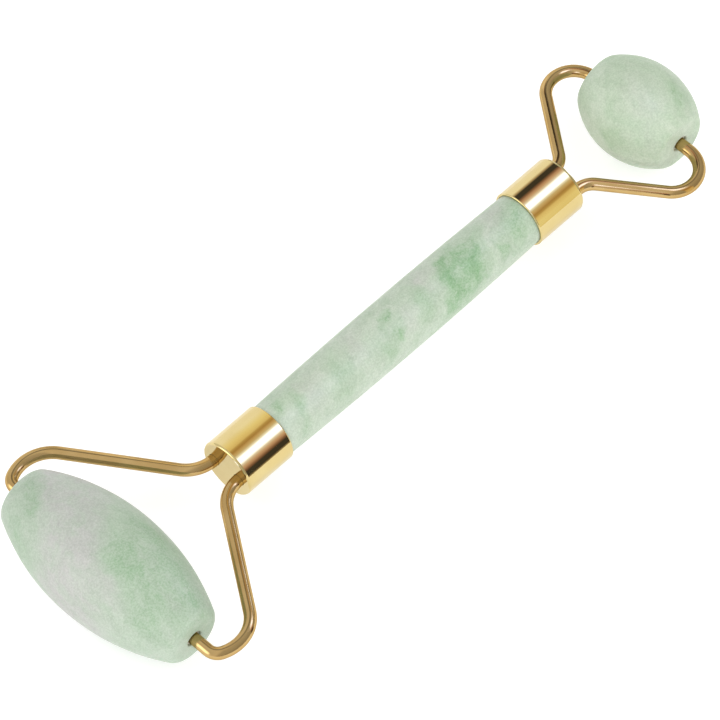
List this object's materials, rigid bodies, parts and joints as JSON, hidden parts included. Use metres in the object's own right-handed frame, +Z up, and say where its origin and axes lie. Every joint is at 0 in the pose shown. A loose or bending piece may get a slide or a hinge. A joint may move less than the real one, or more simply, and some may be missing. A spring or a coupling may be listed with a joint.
{
  "type": "face roller",
  "caption": "Jade face roller with an oval stone at one end of its handle and a small round stone at the other, each turning in a gold wire yoke.",
  "frame": {"origin": "on the handle's centre line, midway between the two ends of the tool (centre of its bounding box)", "axes": "+X along the handle from the large roller to the small one, +Y along both axles, +Z up, square to the flat of the yokes"},
  "size_m": [0.144, 0.0516, 0.0204],
  "materials": {
    "jade": "satin, pale green with cloudy lilac-grey patches",
    "gold_plate": "mirror-polished gold plate",
    "gold_wire": "polished bronze-gold plated spring wire",
    "nylon": "natural off-white",
    "adhesive": "cured amber epoxy"
  },
  "bodies": {
    "handle": {"handle_stone": "jade", "large_end_ferrule": "gold_plate", "small_end_ferrule": "gold_plate", "large_end_potting": "adhesive", "small_end_potting": "adhesive", "large_yoke_wire": "gold_wire", "small_yoke_wire": "gold_wire"},
    "large_roller": {"large_roller_stone": "jade", "large_roller_bush_left": "nylon", "large_roller_bush_right": "nylon"},
    "small_roller": {"small_roller_stone": "jade", "small_roller_bush_left": "nylon", "small_roller_bush_right": "nylon"}
  },
  "joints": [
    {"name": "large_roller_spin", "type": "hinge", "parent": "handle", "child": "large_roller", "pos_m": [-0.0618, 0.0008, 0], "axis": [0, 1, 0], "continuous": true},
    {"name": "small_roller_spin", "type": "hinge", "parent": "handle", "child": "small_roller", "pos_m": [0.0632, 0.0008, 0], "axis": [0, 1, 0], "continuous": true}
  ]
}
